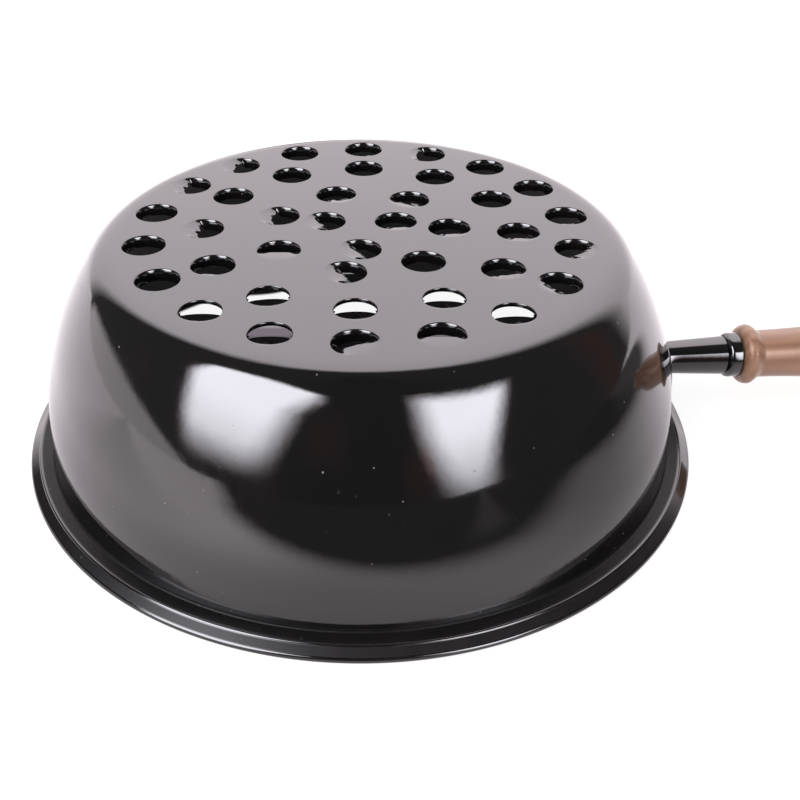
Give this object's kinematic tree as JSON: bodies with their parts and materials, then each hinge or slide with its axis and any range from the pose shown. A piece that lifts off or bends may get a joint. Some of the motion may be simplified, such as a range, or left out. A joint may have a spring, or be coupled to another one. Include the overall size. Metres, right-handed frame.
{
  "type": "charcoal starter pan",
  "caption": "Enamelled steel charcoal starter pan with a perforated base, a rolled rim and a turned wooden side handle with a hanging eye.",
  "frame": {"origin": "centre of the base's outer face, on the pan's axis; the pan stands upside down on its rim, as pictured", "axes": "+Z out of the base along the pan's axis, +X along the handle"},
  "size_m": [0.356, 0.1998, 0.065],
  "materials": {
    "black_enamel": "gloss vitreous enamel on steel",
    "plated_steel": "bright plated steel",
    "turned_wood": "turned hardwood, satin lacquer"
  },
  "bodies": {
    "root": {"pan": "black_enamel", "handle_saddle": "black_enamel", "handle_stem": "black_enamel", "grip_ferrule": "black_enamel", "stem_plug": "plated_steel", "end_washer": "plated_steel", "eye_rod": "plated_steel", "wooden_grip": "turned_wood"}
  },
  "joints": []
}
